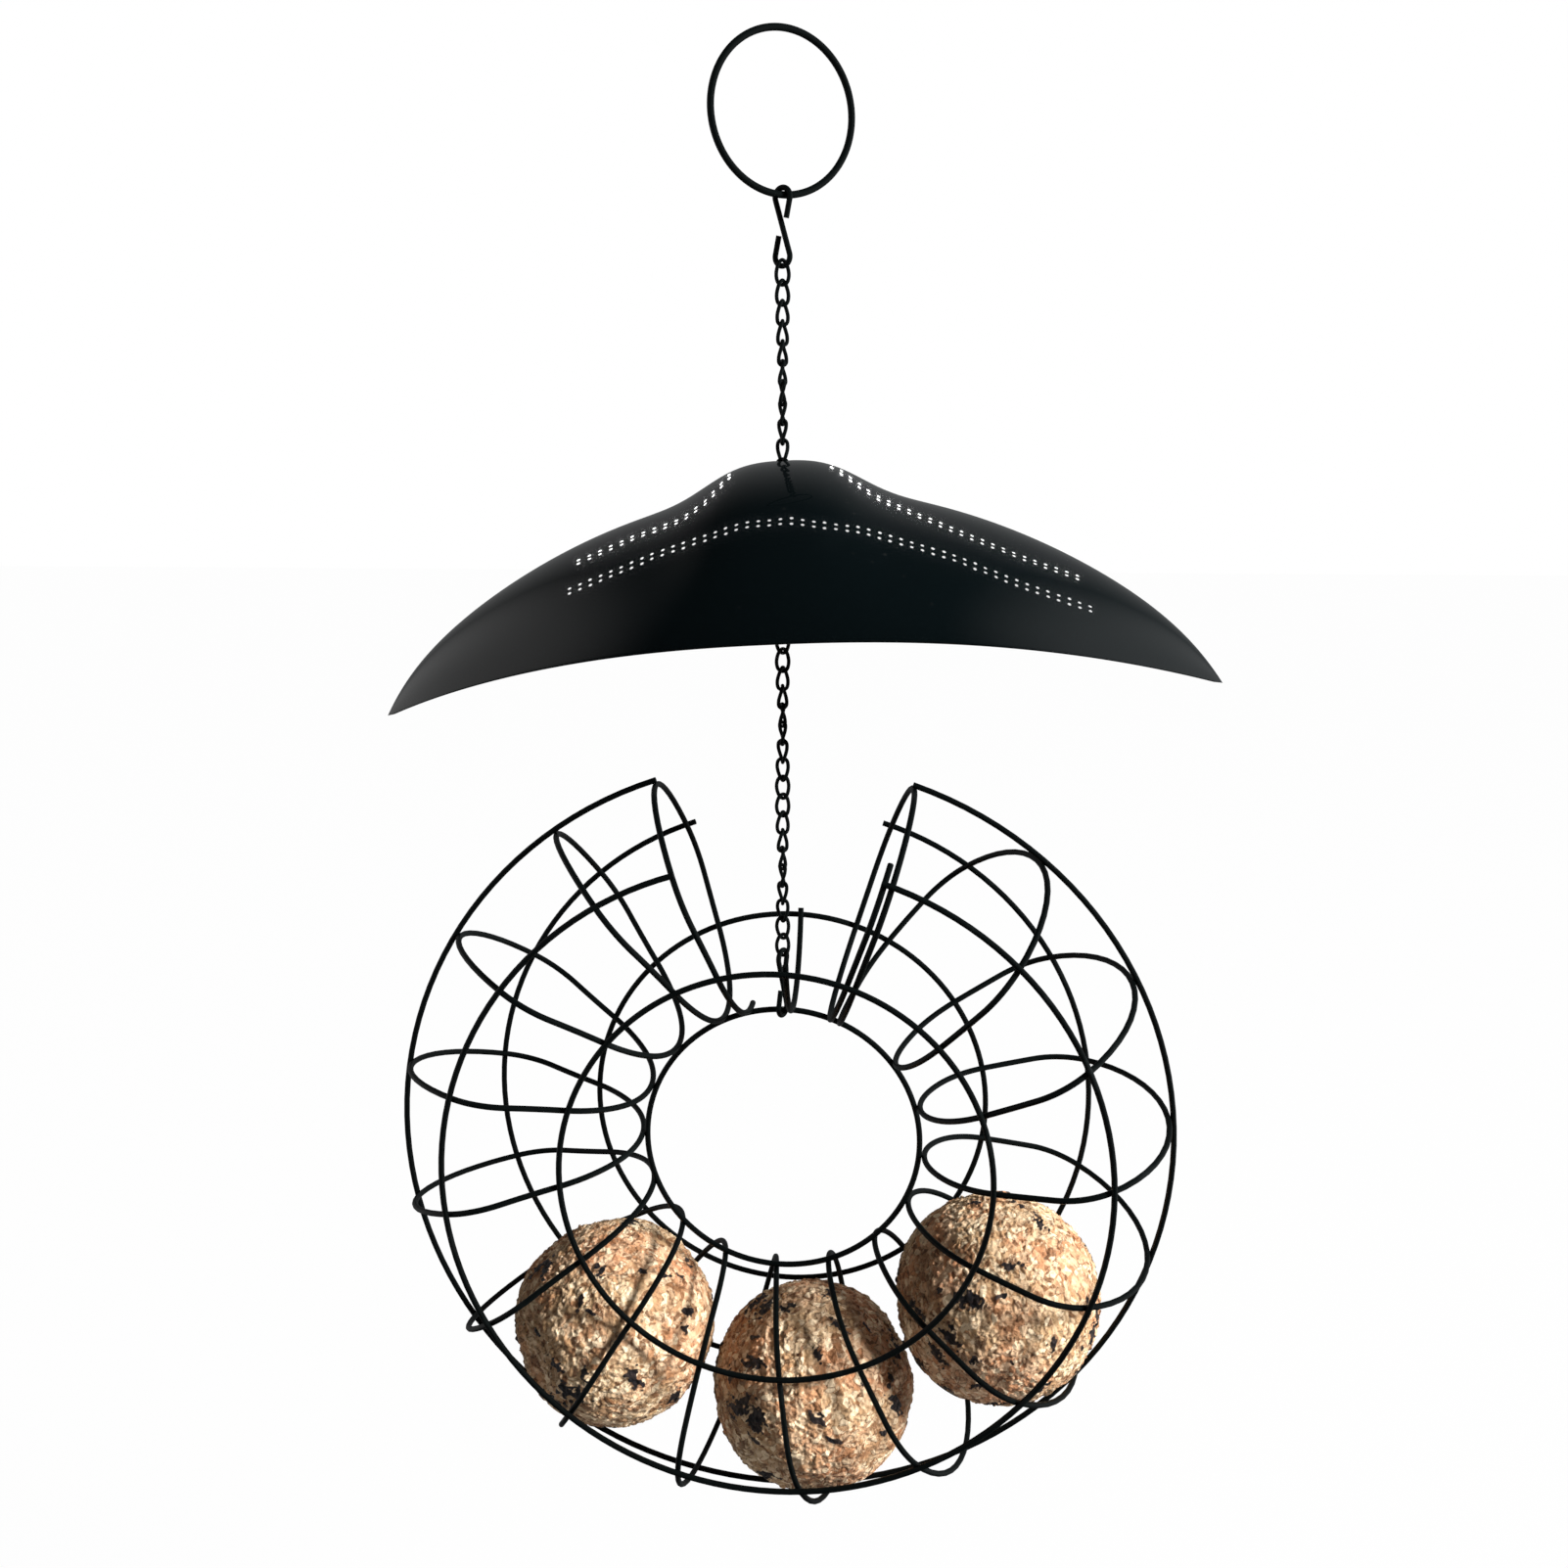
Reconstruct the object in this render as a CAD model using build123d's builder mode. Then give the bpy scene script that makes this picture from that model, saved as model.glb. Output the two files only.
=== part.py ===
from build123d import *
import os
from math import acos, asin, atan2, cos, degrees, exp, hypot, pi, radians, sin, sqrt, tan

# Ring feeder for suet balls, hung on a chain under a sliding roof
# Millimetres, Z up. The origin is the middle of the hanging ring.
# The cage is a tube bent into an open ring round an axis along Y, with its mouth at the top.

# Clearances and joins
hang_gap = 0.12          # play where one wire hangs in another
hook_gap = 0.25          # play where a hook's wire lies in a link's narrow bow
weld_sink = 0.08         # how far a welded hoop presses into the coil
ball_gap = 0.3           # play between a suet ball and the wires it lies on
seat_gap = 3.2           # room under the closed roof, so that the cage can still rock
neck_gap = 0.4           # play round the chain in the roof's hole
overrun = 5.0            # how far a cutting solid runs past what it cuts

# Hanging ring
ring_wire = 2.0
ring_width = 45.6
ring_yaw = 31            # degrees, about Z

# S hooks, alike at both ends of the chain
hook_wire = 1.6
hook_height = 22.6
hook_width = 6.6
hook_tip_inset = 1.25    # from the hook's middle line to its cut end
hook_tip_rise = 2.3      # from the hook's middle height to its cut end
top_hook_yaw = -30
low_hook_yaw = 65

# Chain of twisted links
link_wire = 1.1
link_width = 4.8
link_pitch = 5.51
link_count = 37
link_twist = 74          # degrees from a link's lower bow to its upper bow
slow_links = 8           # links near the top hook, which turn less from one to the next
slow_turn = 11.7
chain_half_turns = 3     # half turns that the chain makes on its way down

# Wire cage
cage_wire = 1.8
coil_inner_radius = 44.9 # from the cage's middle to the wire's middle at the coil's inner tips
tube_play = 9.0          # how much further apart the inner and outer tips are than a ball is wide
inner_side_rise = 20.6   # from the inner tips outwards to where the inner side hoops touch
inner_side_pinch = 3.5   # how much less than a ball's radius the tube's half depth is there
outer_side_fall = 21.4   # from the outer tips inwards to where the outer side hoops touch
outer_side_play = 2.0    # how much more than a ball's radius the tube's half depth is there
side_turn = 0.178        # in turns, from a tip to the side hoops next to it
hoop_overhang = 1.0      # how far an open hoop's end passes the last turn
back_overhang = 2.8      # the same for the back hoop, which stands out further
coil_turns = 16
coil_pitch = 21.8        # degrees from turn to turn
mouth_left_tips = (12.5, 19.0, 23.2)  # degrees from the mouth's middle, tip by tip
first_even_tip = 35.7    # degrees
mouth_right_tips = (336.0, 340.7, 340.7, 341.6)  # degrees
coil_start = -0.015      # in turns, a short nub inside the innermost hoop
coil_end = 16.35         # in turns, doubled along the last turn's front
gap_divisions = 8        # points to an arc when the coil's gap to itself is measured

# Short rib under the hook
saddle_offset = 3.4
saddle_overhang = 2.0    # how far the rib's ends pass the hoops it is welded to

# Suet balls
ball_diameter = 66.0
ball_row_gap = 1.8       # between neighbouring balls
ball_shift = 6.6         # degrees that the row lies to the right of the lowest point

# Roof
roof_length = 250.0
roof_width = 106.0
roof_wall = 2.0
roof_fall = 61.6         # from the plain arch's top to the tips
roof_tip_fall = 8.5      # the share of the fall that the last stretch takes
roof_crown_rise = 8.4    # hump round the chain
roof_crown_reach = 24.5
roof_rim_rise = 23.0     # from the tips to the rim's middle
roof_tilt = 3            # degrees, the left tip lower
roof_lift_shown = 73.5   # how far the roof is raised from closed
crown_power = 3.2
tip_power = 12
rim_power = 2.2
station_shares = (0.06, 0.12, 0.18, 0.24, 0.32, 0.44, 0.58, 0.72, 0.84, 0.92, 0.97)
hollow_end_share = 0.93  # of the half length, where the hollow under the roof ends

# Heights, worked out downwards from the hanging ring
ring_radius = (ring_width - ring_wire) / 2
hook_reach = (hook_height - hook_wire) / 2
top_hook_z = -ring_radius + (ring_wire + hook_wire) / 2 + hang_gap - hook_reach
link_reach = (link_pitch + link_wire + hang_gap) / 2
link_hang = (hook_wire + link_wire) / 2 + hook_gap
first_link_z = top_hook_z - hook_reach + link_hang - link_reach
last_link_z = first_link_z - (link_count - 1) * link_pitch
low_hook_z = last_link_z - link_reach + link_hang - hook_reach
coil_outer_radius = coil_inner_radius + ball_diameter + tube_play
inner_side_depth = ball_diameter / 2 - inner_side_pinch
outer_side_depth = ball_diameter / 2 + outer_side_play
inner_radius = coil_inner_radius - cage_wire + weld_sink
outer_radius = coil_outer_radius + cage_wire - weld_sink
cage_z = low_hook_z - hook_reach + (hook_wire + cage_wire) / 2 + hang_gap - inner_radius
ball_track = coil_outer_radius - cage_wire / 2 - ball_gap - ball_diameter / 2
ball_spacing = degrees(2 * asin((ball_diameter + ball_row_gap) / (2 * ball_track)))
cage_axis = Axis((0, 0, cage_z), (0, 1, 0))

os.makedirs("parts", exist_ok=True)


def keep(part, name):
    """Label a finished piece and write it under its own name."""
    part.label = name
    export_step(part, f"parts/{name}.step")


def biarc(start, start_way, end, end_way):
    """Draw two arcs that leave one place and arrive at another along the given directions."""
    span = end - start
    ways = start_way + end_way
    bend = 2 * (1 - start_way.dot(end_way))
    along = span.dot(ways)
    reach = (sqrt(along**2 + bend * span.dot(span)) - along) / bend
    first = start + start_way * reach
    second = end - end_way * reach
    middle = (first + second) / 2
    TangentArc(start, middle, tangent=start_way)
    TangentArc(middle, end, tangent=(second - first).normalized())


def wire_plane(place, way):
    """The plane across a wire at its start."""
    return Plane(origin=place, z_dir=way)


# Hanging ring: a plain round ring that stands on edge
ring_plane = Plane(
    origin=(0, 0, 0),
    x_dir=(0, 0, 1),
    z_dir=(cos(radians(ring_yaw)), sin(radians(ring_yaw)), 0),
)
with BuildPart() as hanging_ring:
    with BuildSketch(ring_plane):
        with Locations((-ring_radius, 0)):
            Circle(ring_wire / 2)
    revolve(axis=Axis((0, 0, 0), (-sin(radians(ring_yaw)), cos(radians(ring_yaw)), 0)))
keep(hanging_ring.part, "hanging_ring")


# S hooks: two round eyes joined by a straight slanting shank, each eye's end cut off square
def s_hook(middle_z, yaw):
    """Make one S hook about its middle height, turned about the chain's line."""
    eye = (hook_width - hook_wire) / 2
    eye_height = hook_reach - eye
    slant = degrees(asin(eye / eye_height))
    tip_way = degrees(atan2(hook_tip_rise - eye_height, hook_tip_inset))
    tip_angle = tip_way + degrees(acos(eye / hypot(hook_tip_inset, eye_height - hook_tip_rise)))
    arc_size = 180 + slant - tip_angle
    turn = radians(yaw)
    plane = Plane(origin=(0, 0, middle_z), x_dir=(cos(turn), sin(turn), 0), z_dir=(sin(turn), -cos(turn), 0))
    with BuildPart() as hook:
        with BuildLine(plane) as path:
            upper = CenterArc((0, eye_height), eye, tip_angle, arc_size)
            lower = CenterArc((0, -eye_height), eye, 180 + tip_angle, arc_size)
            Line((hook_tip_inset, hook_tip_rise), upper @ 0)
            Line(upper @ 1, lower @ 1)
            Line(lower @ 0, (-hook_tip_inset, -hook_tip_rise))
        start = plane.from_local_coords(Vector(hook_tip_inset, hook_tip_rise))
        with BuildSketch(wire_plane(start, (upper @ 0) - start)):
            Circle(hook_wire / 2)
        sweep(path=path.wires()[0])
    return hook.part


keep(s_hook(top_hook_z, top_hook_yaw), "top_s_hook")
keep(s_hook(low_hook_z, low_hook_yaw), "lower_s_hook")


# Chain: oval links, each twisted about its length, hung one in the next
def link_point(angle):
    """A place on a link's middle line and the way along it, the angle in degrees from its side."""
    side, rise = cos(radians(angle)), sin(radians(angle))
    half_width = (link_width - link_wire) / 2
    half_twist = radians(link_twist) / 2
    turn = half_twist * rise
    place = Vector(half_width * side * cos(turn), half_width * side * sin(turn), link_reach * rise)
    turn_rate = half_twist * side
    way = Vector(
        -half_width * (rise * cos(turn) + side * sin(turn) * turn_rate),
        -half_width * (rise * sin(turn) - side * cos(turn) * turn_rate),
        link_reach * side,
    )
    return place, way.normalized()


with BuildPart() as chain_link:
    with BuildLine():
        for corner in (-90, 0):
            biarc(*link_point(corner), *link_point(corner + 90))
    with BuildSketch(wire_plane(*link_point(-90))):
        Circle(link_wire / 2)
    sweep()
    add(chain_link.part.rotate(Axis.Z, 180))

# The first link's upper bow crosses the top hook squarely, the last one's lower bow the lower hook
whole_turn = low_hook_yaw - top_hook_yaw + link_twist + 180 * chain_half_turns
fast_turn = (whole_turn - slow_links * slow_turn) / (link_count - 1 - slow_links)
link_turn = top_hook_yaw + 90 - link_twist / 2
for number in range(link_count):
    with BuildPart() as placed_link:
        with Locations(Location((0, 0, first_link_z - number * link_pitch), (0, 0, link_turn))):
            add(chain_link.part)
    keep(placed_link.part, f"chain_link_{number + 1:02d}")
    link_turn += slow_turn if number < slow_links else fast_turn


# Cage: a wire coiled along the bent tube, with hoops welded on its outside
# The tube is egg shaped: a round arc on its inner side, a wider one on its outer side
inner_reach = (inner_side_rise**2 + inner_side_depth**2) / (2 * inner_side_rise)
outer_reach = (outer_side_fall**2 + outer_side_depth**2) / (2 * outer_side_fall)
inner_middle = coil_inner_radius + inner_reach
outer_middle = coil_outer_radius - outer_reach
inner_span = atan2(inner_side_depth, inner_reach - inner_side_rise)
outer_span = atan2(outer_side_depth, outer_reach - outer_side_fall)


def coil_angle(turn):
    """Angle from the mouth's middle at a place along the coil, and its rate for each turn."""
    even_count = 2 * coil_turns - len(mouth_left_tips) - len(mouth_right_tips) + 2
    tips = list(mouth_left_tips)
    tips += [first_even_tip + number * coil_pitch / 2 for number in range(even_count)]
    tips += mouth_right_tips
    before = min(max(int(2 * turn), 0), len(tips) - 2)
    share = 2 * turn - before
    rates = []
    for tip in (before, before + 1):
        low, high = max(tip - 1, 0), min(tip + 1, len(tips) - 1)
        rates.append((tips[high] - tips[low]) / (high - low))
    rise = tips[before + 1] - tips[before]
    curve = 3 * rise - 2 * rates[0] - rates[1]
    twist = rates[0] + rates[1] - 2 * rise
    angle = tips[before] + share * (rates[0] + share * (curve + share * twist))
    rate = 2 * (rates[0] + share * (2 * curve + 3 * share * twist))
    return radians(angle), radians(rate)


def tube_section(turn):
    """Radius and depth of the coil's middle line on its round arcs, and their rates for each turn."""
    tip = round(2 * turn)
    if tip % 2:
        middle, reach, span = outer_middle, outer_reach, outer_span
    else:
        middle, reach, span = inner_middle, -inner_reach, inner_span
    angle_rate = span / side_turn
    angle = (turn - tip / 2) * angle_rate
    radius_rate, depth_rate = -reach * sin(angle) * angle_rate, reach * cos(angle) * angle_rate
    return middle + reach * cos(angle), reach * sin(angle), radius_rate, depth_rate


def coil_point(turn):
    """A place on the coil's middle line, and the way along it."""
    angle, rate = coil_angle(turn)
    radius, depth, radius_rate, depth_rate = tube_section(turn)
    place = Vector(-radius * sin(angle), depth, cage_z + radius * cos(angle))
    way = Vector(
        -radius_rate * sin(angle) - radius * cos(angle) * rate,
        depth_rate,
        radius_rate * cos(angle) - radius * sin(angle) * rate,
    )
    return place, way.normalized()


steps = [number + side for number in range(coil_turns + 1) for side in (0, side_turn, 0.5 - side_turn)]
steps += [number - side for number in range(1, coil_turns + 1) for side in (side_turn, 0.5 - side_turn)]
steps = [coil_start] + [step for step in sorted(steps) if 0 < step < coil_end] + [coil_end]
with BuildPart() as coil_wire:
    with BuildLine() as coil_path:
        for before, after in zip(steps, steps[1:]):
            biarc(*coil_point(before), *coil_point(after))
    with BuildSketch(wire_plane(*coil_point(coil_start))):
        Circle(cage_wire / 2)
    sweep()
keep(coil_wire.part, "coil_wire")

# The least gap from one stretch of the coil to another, measured on points of its arcs
arcs = coil_path.edges()
points = [arc @ (number / gap_divisions) for arc in arcs for number in range(gap_divisions)]
half_turn = len(points) // (2 * coil_turns)
nearest = min((a - b).length for n, a in enumerate(points) for b in points[n + half_turn:])
print(f"least gap of the coil to itself {nearest - cage_wire:.2f} mm")


def hoop_place(turn):
    """Radius and depth of a hoop's middle line, which lies against the coil's outside."""
    radius, depth, radius_rate, depth_rate = tube_section(turn)
    share = (cage_wire - weld_sink) / hypot(radius_rate, depth_rate)
    return radius + share * depth_rate, depth - share * radius_rate


def hoop(turn, start_angle, end_angle):
    """Make a round hoop where a share of a turn points, between two angles about the cage's axis."""
    radius, depth = hoop_place(turn)
    outward = (-sin(start_angle), 0, cos(start_angle))
    plane = Plane(origin=(0, 0, cage_z), x_dir=outward, z_dir=(cos(start_angle), 0, sin(start_angle)))
    with BuildPart() as bent_hoop:
        with BuildSketch(plane):
            with Locations((radius, -depth)):
                Circle(cage_wire / 2)
        revolve(axis=cage_axis, revolution_arc=-degrees(end_angle - start_angle))
    return bent_hoop.part


def open_hoop(start_turn, end_turn, overhang):
    """Make a hoop that stops just past the coil's end turns, so that the mouth stays free."""
    extra = overhang / hoop_place(start_turn)[0]
    return hoop(start_turn, coil_angle(start_turn)[0] - extra, coil_angle(end_turn)[0] + extra)


keep(open_hoop(0.5, coil_turns - 0.5, hoop_overhang), "outer_hoop")
keep(open_hoop(0.5 - side_turn, coil_turns + 0.5 - side_turn, hoop_overhang), "front_outer_hoop")
keep(open_hoop(0.5 + side_turn, coil_turns - 0.5 + side_turn, back_overhang), "back_outer_hoop")
keep(hoop(side_turn, 0, 2 * pi), "front_inner_hoop")
keep(hoop(-side_turn, 0, 2 * pi), "back_inner_hoop")
keep(hoop(0, 0, 2 * pi), "inner_hoop")

# Mouth saddle: a short round rib across the three inner hoops beside the hook
saddle_angle = degrees(inner_span + saddle_overhang / inner_reach)
saddle_plane = Plane(
    origin=(saddle_offset, 0, cage_z + sqrt(inner_middle**2 - saddle_offset**2)),
    x_dir=(0, 1, 0),
    z_dir=(1, 0, 0),
)
with BuildPart() as mouth_saddle:
    with BuildLine(saddle_plane) as saddle_path:
        saddle_arc = CenterArc((0, 0), inner_reach, -90 - saddle_angle, 2 * saddle_angle)
    with BuildSketch(wire_plane(saddle_arc @ 0, saddle_arc % 0)):
        Circle(cage_wire / 2)
    sweep(path=saddle_path.wires()[0])
keep(mouth_saddle.part, "mouth_saddle")

# Suet balls, side by side along the lowest stretch of the tube
for name, place in (("left", -1), ("middle", 0), ("right", 1)):
    angle = radians(ball_shift + place * ball_spacing)
    with BuildPart() as suet_ball:
        with Locations((ball_track * sin(angle), 0, cage_z - ball_track * cos(angle))):
            Sphere(ball_diameter / 2)
    keep(suet_ball.part, f"suet_ball_{name}")


# Roof: a thin arched shell, leaf shaped from above, with a hump where the chain goes through
def roof_ridge(share):
    """Height of the ridge over the tips, at a share of the half length."""
    hump = roof_crown_rise * exp(-((share * roof_length / 2 / roof_crown_reach) ** crown_power))
    arch = (roof_fall - roof_tip_fall) * (1 - share**2)
    return arch + roof_tip_fall * (1 - share**tip_power) + hump


def roof_rim(share):
    """Height of the rim over the tips."""
    return roof_rim_rise * (1 - share**rim_power)


def roof_half_width(share):
    """Half the roof's width, on a round arc through both tips."""
    half_length, half_width = roof_length / 2, roof_width / 2
    radius = (half_length**2 + half_width**2) / (2 * half_width)
    return sqrt(radius**2 - (share * half_length) ** 2) - (radius - half_width)


# The closed roof rests where its arch meets the mouth's edges
mouth_angle = coil_angle(0.5)[0]
rest_radius = outer_radius + cage_wire / 2
rest_x = rest_radius * sin(mouth_angle)
rest_rise = rest_x * tan(radians(roof_tilt))
rest_share = rest_x / (roof_length / 2)
rest_z = cage_z + rest_radius * cos(mouth_angle)
closed_tips_z = rest_z - roof_ridge(rest_share) + roof_wall + rest_rise + seat_gap
roof_turn = radians(roof_tilt)
roof_base = closed_tips_z + roof_lift_shown
neck_height = roof_ridge(0)


def roof_plane(distance):
    """The upright plane across the roof, at a distance along it from the chain."""
    way = Vector(cos(roof_turn), 0, sin(roof_turn))
    up = Vector(-sin(roof_turn), 0, cos(roof_turn))
    neck = Vector(0, 0, roof_base + neck_height)
    return Plane(origin=neck + way * distance - up * neck_height, x_dir=(0, 1, 0), z_dir=way)


def roof_section(share, inset):
    """Draw one cross section, a half ellipse over the rim; an inset one is open downwards."""
    reach = roof_half_width(abs(share)) - inset
    rim = roof_rim(abs(share))
    rise = roof_ridge(abs(share)) - rim - inset
    with BuildSketch(roof_plane(share * roof_length / 2)) as section:
        with BuildLine():
            EllipticalCenterArc((0, rim), reach, rise, start_angle=0, arc_size=180)
            if inset:
                depth = rim - overrun
                Polyline((-reach, rim), (-reach, depth), (reach, depth), (reach, rim))
            else:
                Line((-reach, rim), (reach, rim))
        make_face()
    return section.sketch.face()


shares = [-share for share in reversed(station_shares)] + [0.0] + list(station_shares)
inner_shares = [share for share in shares if abs(share) < hollow_end_share]
inner_shares = [-hollow_end_share] + inner_shares + [hollow_end_share]
with BuildPart() as roof:
    tips = [Vertex(*roof_plane(side * roof_length / 2).origin) for side in (-1, 1)]
    loft(sections=[tips[0]] + [roof_section(share, 0) for share in shares] + [tips[1]])
    loft(sections=[roof_section(share, roof_wall) for share in inner_shares], mode=Mode.SUBTRACT)
    with BuildSketch(Plane.XY.offset(roof_base + neck_height - roof_crown_reach)):
        Circle(link_width / 2 + neck_gap)
    extrude(amount=2 * roof_crown_reach, mode=Mode.SUBTRACT)
keep(roof.part, "roof")
print(f"roof travel from closed to shown {roof_lift_shown:.1f} mm")
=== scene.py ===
"""Looks of the ring feeder: a coiled wire cage with suet balls on a chain, under a glossy sliding roof.

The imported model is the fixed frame. Its rings, hooks, links and hoops keep their own solids and get
their finishes here, and the coil, the roof and the balls are worked out afresh as finer surfaces.
Lengths in the classes are millimetres, as in the part's own source, and meshes are in metres.
"""

from __future__ import annotations

import logging
import math
from dataclasses import dataclass
from enum import Enum

import bpy
import numpy as np
from mathutils import Matrix

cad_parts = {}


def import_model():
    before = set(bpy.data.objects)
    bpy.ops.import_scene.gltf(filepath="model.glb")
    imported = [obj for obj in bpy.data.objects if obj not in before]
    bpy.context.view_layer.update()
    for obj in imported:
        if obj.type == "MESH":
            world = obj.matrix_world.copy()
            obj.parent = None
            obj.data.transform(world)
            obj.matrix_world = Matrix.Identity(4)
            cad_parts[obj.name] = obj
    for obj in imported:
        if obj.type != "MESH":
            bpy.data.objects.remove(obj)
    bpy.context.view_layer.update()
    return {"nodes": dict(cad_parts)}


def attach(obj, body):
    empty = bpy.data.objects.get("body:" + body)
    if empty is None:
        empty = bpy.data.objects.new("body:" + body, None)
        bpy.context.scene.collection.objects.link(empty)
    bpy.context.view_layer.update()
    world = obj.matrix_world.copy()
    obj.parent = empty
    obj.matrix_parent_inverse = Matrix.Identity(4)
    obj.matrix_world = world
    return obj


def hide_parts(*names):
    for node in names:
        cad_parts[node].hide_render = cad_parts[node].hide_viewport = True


LOG = logging.getLogger("ring_feeder")
Triple = tuple[float, float, float]
MM = 0.001
FRAME_PIXELS = 1602
CAGE_HEIGHT = -305.13
BLOCK = 4000
WAVES = 9
END_WIDTH_SHARES = np.array([0.0, 0.55, 0.86, 1.0])
END_INSET_SHARES = np.array([0.0, 0.0, 0.08, 0.3])


class Body(str, Enum):
    """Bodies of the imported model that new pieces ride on."""

    CAGE = "cage"
    ROOF = "roof"
    LEFT_BALL = "ball_left"
    MIDDLE_BALL = "ball_middle"
    RIGHT_BALL = "ball_right"


class Slot(str, Enum):
    """Material slots of the record."""

    RING = "ring_wire"
    HOOK = "hook_wire"
    CHAIN = "chain_wire"
    CAGE = "cage_wire"
    ROOF = "roof_shell"
    SUET = "suet"


# ---- meshes


def unit(ways: np.ndarray) -> np.ndarray:
    """Bring ways to length one along their last axis."""
    return ways / np.linalg.norm(ways, axis=-1, keepdims=True)


def grid_object(
    name: str,
    points: np.ndarray,
    wrap_rows: bool = False,
    wrap_columns: bool = False,
    attributes: dict[str, np.ndarray] | None = None,
    flip: bool = False,
) -> bpy.types.Object:
    """Make a smooth mesh of quads over a grid of places.

    Args:
        name: The new object's name.
        points: Places in metres, rows by columns by three.
        wrap_rows: Whether the last row joins the first.
        wrap_columns: Whether the last column joins the first.
        attributes: Values for each place, kept on the mesh under their own names.
        flip: Whether the faces turn the other way round.

    Returns:
        The object, with its places in its mesh.
    """
    rows, columns = points.shape[:2]
    down = np.arange(rows if wrap_rows else rows - 1)[:, None]
    across = np.arange(columns if wrap_columns else columns - 1)[None, :]
    next_down, next_across = (down + 1) % rows, (across + 1) % columns
    corners = [down * columns + across, down * columns + next_across,
               next_down * columns + next_across, next_down * columns + across]
    faces = np.stack([np.broadcast_to(c, (down.size, across.size)) for c in corners], axis=-1)
    faces = faces.reshape(-1, 4)
    if flip:
        faces = faces[:, ::-1]
    return mesh_object(name, points.reshape(-1, 3), faces, attributes)


def mesh_object(
    name: str,
    points: np.ndarray,
    faces: np.ndarray,
    attributes: dict[str, np.ndarray] | None = None,
) -> bpy.types.Object:
    """Put places and four-cornered faces into a new smooth mesh object.

    Args:
        name: The new object's name.
        points: Places in metres, count by three.
        faces: Corner numbers, count by four.
        attributes: Values for each place, kept on the mesh under their own names.

    Returns:
        The object, linked to the scene.
    """
    mesh = bpy.data.meshes.new(name)
    mesh.vertices.add(len(points))
    mesh.vertices.foreach_set("co", np.ascontiguousarray(points, dtype=np.float32).ravel())
    mesh.loops.add(faces.size)
    mesh.loops.foreach_set("vertex_index", np.ascontiguousarray(faces, dtype=np.int32).ravel())
    mesh.polygons.add(len(faces))
    mesh.polygons.foreach_set("loop_start", np.arange(0, faces.size, 4, dtype=np.int32))
    mesh.update(calc_edges=True)
    mesh.validate()
    mesh.polygons.foreach_set("use_smooth", np.ones(len(mesh.polygons), dtype=bool))
    for label, values in (attributes or {}).items():
        layer = mesh.attributes.new(label, "FLOAT", "POINT")
        layer.data.foreach_set("value", np.ascontiguousarray(values, dtype=np.float32).ravel())
    mesh.update()
    piece = bpy.data.objects.new(name, mesh)
    bpy.context.scene.collection.objects.link(piece)
    return piece


def tube(path: np.ndarray, side: np.ndarray, radius: float, around: int) -> np.ndarray:
    """Carry a round profile along a path, with softly rounded blunt ends.

    The way at each place is the path's slope. The side direction is freed of its share along the
    way, and a third direction stands square to both. A place on the tube is then the path's place
    plus the radius times (cosine of side + sine of the third).

    Args:
        path: Places along the middle line, count by three.
        side: A direction at each place that is not along the path.
        radius: The tube's radius, in the path's unit.
        around: How many places go round the tube.

    Returns:
        A grid of places, stations by around by three.
    """
    way = unit(np.gradient(path, axis=0))
    side = unit(side - way * np.sum(side * way, axis=1, keepdims=True))
    third = np.cross(way, side)
    widths, insets = END_WIDTH_SHARES, radius * END_INSET_SHARES
    size = np.concatenate([widths, np.ones(len(path) - 2), widths[::-1]]) * radius
    start = path[0] + way[0] * insets[:, None]
    finish = path[-1] - way[-1] * insets[::-1, None]
    places = np.concatenate([start, path[1:-1], finish])
    ends = len(widths)
    hold = np.concatenate([np.zeros(ends, int), np.arange(1, len(path) - 1), np.full(ends, len(path) - 1)])
    turn = np.linspace(0, 2 * np.pi, around, endpoint=False)
    ring = (np.cos(turn)[None, :, None] * side[hold][:, None, :]
            + np.sin(turn)[None, :, None] * third[hold][:, None, :])
    return places[:, None, :] + size[:, None, None] * ring


def arc_places(start: np.ndarray, way: np.ndarray, end: np.ndarray, count: int) -> np.ndarray:
    """Lay places along many arcs, each from its start along a way to its end, without the end.

    With the lean between the way and the chord, the radius is the chord over twice its sine, and
    the arc turns by twice the lean.

    Args:
        start: Places that the arcs leave, count by three.
        way: Unit ways that they leave along.
        end: Places that they reach.
        count: How many places lie on each arc.

    Returns:
        Places, arcs by count by three.
    """
    chord = end - start
    length = np.linalg.norm(chord, axis=1, keepdims=True)
    along = np.sum(way * chord, axis=1, keepdims=True) / length
    inward = chord / length - along * way
    inward /= np.maximum(np.linalg.norm(inward, axis=1, keepdims=True), 1e-12)
    lean = np.maximum(np.arccos(np.clip(along, -1, 1)), 1e-6)
    radius = length / (2 * np.sin(lean))
    turn = 2 * lean * (np.arange(count) / count)
    return (start[:, None] + inward[:, None] * (radius * (1 - np.cos(turn)))[..., None]
            + way[:, None] * (radius * np.sin(turn))[..., None])


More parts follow.
